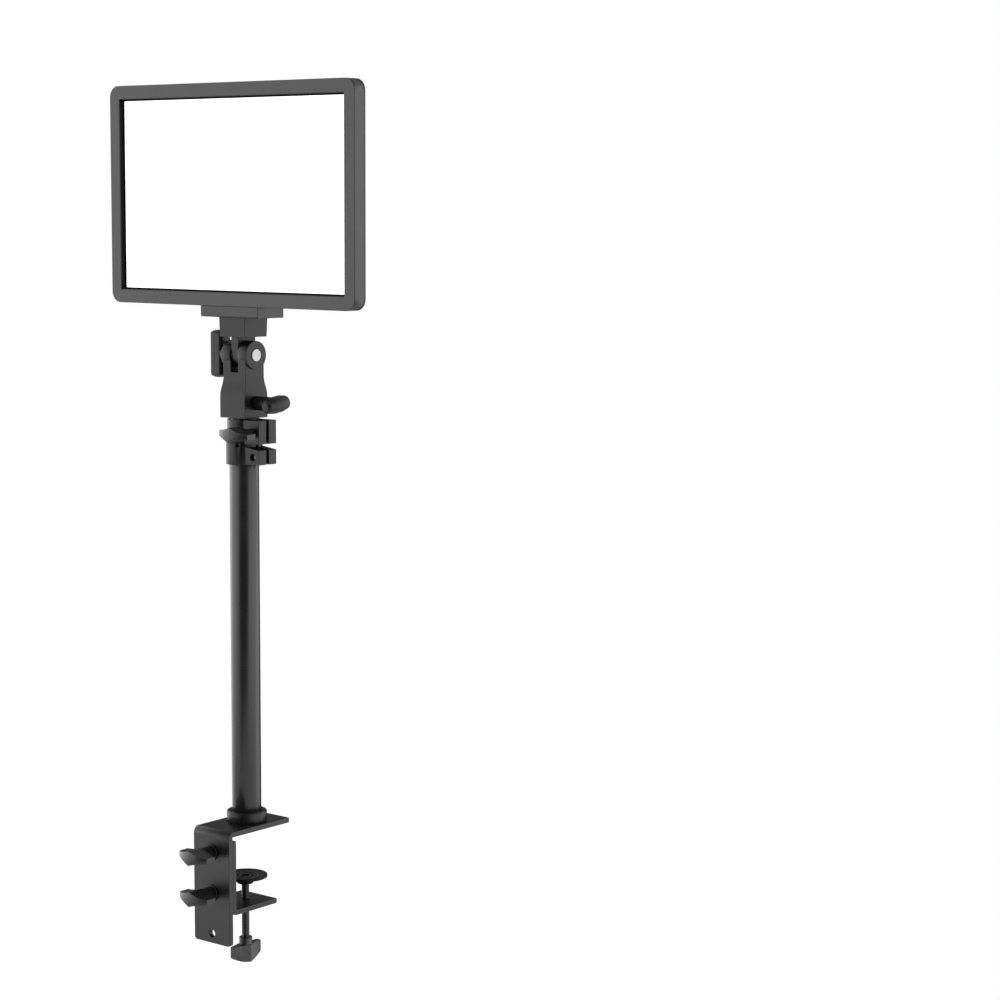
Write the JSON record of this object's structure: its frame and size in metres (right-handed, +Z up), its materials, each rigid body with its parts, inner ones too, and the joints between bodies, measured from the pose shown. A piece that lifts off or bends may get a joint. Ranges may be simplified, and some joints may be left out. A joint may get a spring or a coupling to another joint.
{
  "type": "led panel light",
  "caption": "Dimmable rectangular LED panel light with rear controls and display, on a tilting and panning head, telescopic pole and screw-on desk clamp.",
  "frame": {"origin": "on the pole axis, in the desk face under the clamp's top plate", "axes": "+Z up along the pole, the light shines toward -Y, +X along the panel's width"},
  "size_m": [0.26, 0.0924, 0.6888],
  "materials": {
    "frame_black": "fine satin black",
    "diffuser": "matte opal, lit from behind",
    "light_guide": "clear acrylic",
    "white_film": "white film",
    "led_board": "white solder mask",
    "warm_led": "yellow phosphor",
    "cool_led": "pale phosphor",
    "aluminium": "mill finish",
    "housing_black": "fine-textured black",
    "bright_steel": "bright plated",
    "lens_black": "polished black",
    "lcd_glass": "backlit display",
    "board_green": "solder mask",
    "component_black": "moulded",
    "zinc_steel": "zinc plated",
    "knob_black": "satin black",
    "rocker_black": "glossy black",
    "wire_jacket": "soft insulation",
    "head_black": "satin black",
    "nylon_white": "natural nylon",
    "tube_black": "satin black",
    "plate_black": "powder coated",
    "screw_black": "black oxide"
  },
  "bodies": {
    "clamp": {"outer_tube": "tube_black", "collar": "head_black", "collar_nut": "screw_black", "lug_screw": "bright_steel", "base_flange": "head_black", "tube_plug": "aluminium", "flange_screw": "zinc_steel", "clamp_plate": "plate_black", "jaw_bracket": "plate_black", "bolt_washers": "screw_black"},
    "slider": {"inner_tube": "tube_black", "spigot": "screw_black", "slider_bush": "nylon_white"},
    "head": {"clevis_body": "head_black", "tilt_washers": "nylon_white"},
    "light": {"front_bezel": "frame_black", "diffuser_sheet": "diffuser", "light_guide_plate": "light_guide", "reflector_sheet": "white_film", "led_strip_top": "led_board", "led_strip_bottom": "led_board", "warm_leds": "warm_led", "cool_leds": "cool_led", "heat_spreader": "aluminium", "back_cover": "housing_black", "cover_screws": "bright_steel", "control_housing": "housing_black", "housing_screws": "zinc_steel", "lcd_lens": "lens_black", "lcd_module": "lcd_glass", "control_board": "board_green", "dimmer_encoder": "zinc_steel", "colour_encoder": "zinc_steel", "power_housing": "housing_black", "dc_socket": "component_black", "dc_socket_nut": "bright_steel", "dc_socket_pin": "bright_steel", "switch_body": "component_black", "driver_board": "board_green", "supply_wires": "wire_jacket", "tilt_block": "head_black", "block_screws": "zinc_steel"},
    "dimmer": {"dimmer_shaft": "zinc_steel", "dimmer_knob": "knob_black"},
    "colour": {"colour_shaft": "zinc_steel", "colour_knob": "knob_black"},
    "rocker": {"switch_rocker": "rocker_black"},
    "tilt_lock": {"tilt_bolt": "bright_steel", "tilt_knob": "head_black"},
    "pan_lock": {"t_screw": "zinc_steel", "t_handle": "head_black"},
    "height_lock": {"collar_wing_bolt": "knob_black"},
    "upper_bolt": {"upper_wing_bolt": "knob_black"},
    "lower_bolt": {"lower_wing_bolt": "knob_black"},
    "pad": {"clamp_pad": "component_black"},
    "screw": {"clamp_screw": "screw_black", "clamp_knob": "knob_black"}
  },
  "joints": [
    {"name": "height_slide", "type": "slide", "parent": "clamp", "child": "slider", "axis": [0, 0, 1], "range_m": [0, 0.22]},
    {"name": "head_pan", "type": "hinge", "parent": "slider", "child": "head", "pos_m": [0, 0, 0.3235], "axis": [0, 0, 1], "continuous": true},
    {"name": "panel_tilt", "type": "hinge", "parent": "head", "child": "light", "pos_m": [0, 0, 0.372], "axis": [1, 0, 0], "range_deg": [-90, 90]},
    {"name": "tilt_lock_turn", "type": "hinge", "parent": "head", "child": "tilt_lock", "pos_m": [-0.0243, 0, 0.372], "axis": [-1, 0, 0], "continuous": true},
    {"name": "pan_lock_turn", "type": "hinge", "parent": "head", "child": "pan_lock", "pos_m": [0.0345, 0, 0.335], "axis": [1, 0, 0], "range_deg": [-120, 120]},
    {"name": "height_lock_turn", "type": "hinge", "parent": "clamp", "child": "height_lock", "pos_m": [0.0184, -0.0096, 0.3126], "axis": [0, -1, 0], "range_deg": [-25, 25]},
    {"name": "upper_bolt_turn", "type": "hinge", "parent": "clamp", "child": "upper_bolt", "pos_m": [0, -0.0408, -0.014], "axis": [0, -1, 0], "continuous": true},
    {"name": "lower_bolt_turn", "type": "hinge", "parent": "clamp", "child": "lower_bolt", "pos_m": [0, -0.0408, -0.0465], "axis": [0, -1, 0], "continuous": true},
    {"name": "screw_turn", "type": "hinge", "parent": "pad", "child": "screw", "pos_m": [0, -0.0023, -0.0898], "axis": [0, 0, 1], "range_deg": [-2840, 7370]},
    {"name": "pad_slide", "type": "slide", "parent": "clamp", "child": "pad", "axis": [0, 0, 1], "range_m": [-0.01, 0.026]},
    {"name": "dimmer_turn", "type": "hinge", "parent": "light", "child": "dimmer", "pos_m": [0.0452, 0.0056, 0.4723], "axis": [0, -1, 0], "range_deg": [-135, 135]},
    {"name": "colour_turn", "type": "hinge", "parent": "light", "child": "colour", "pos_m": [-0.0452, 0.0056, 0.4723], "axis": [0, -1, 0], "range_deg": [-135, 135]},
    {"name": "switch_rock", "type": "hinge", "parent": "light", "child": "rocker", "pos_m": [-0.0114, 0.0084, 0.4314], "axis": [1, 0, 0], "range_deg": [-16, 0]}
  ],
  "couplings": [
    {"joint": "pad_slide", "follows": "screw_turn", "m_per_rad": 0.00020213}
  ]
}
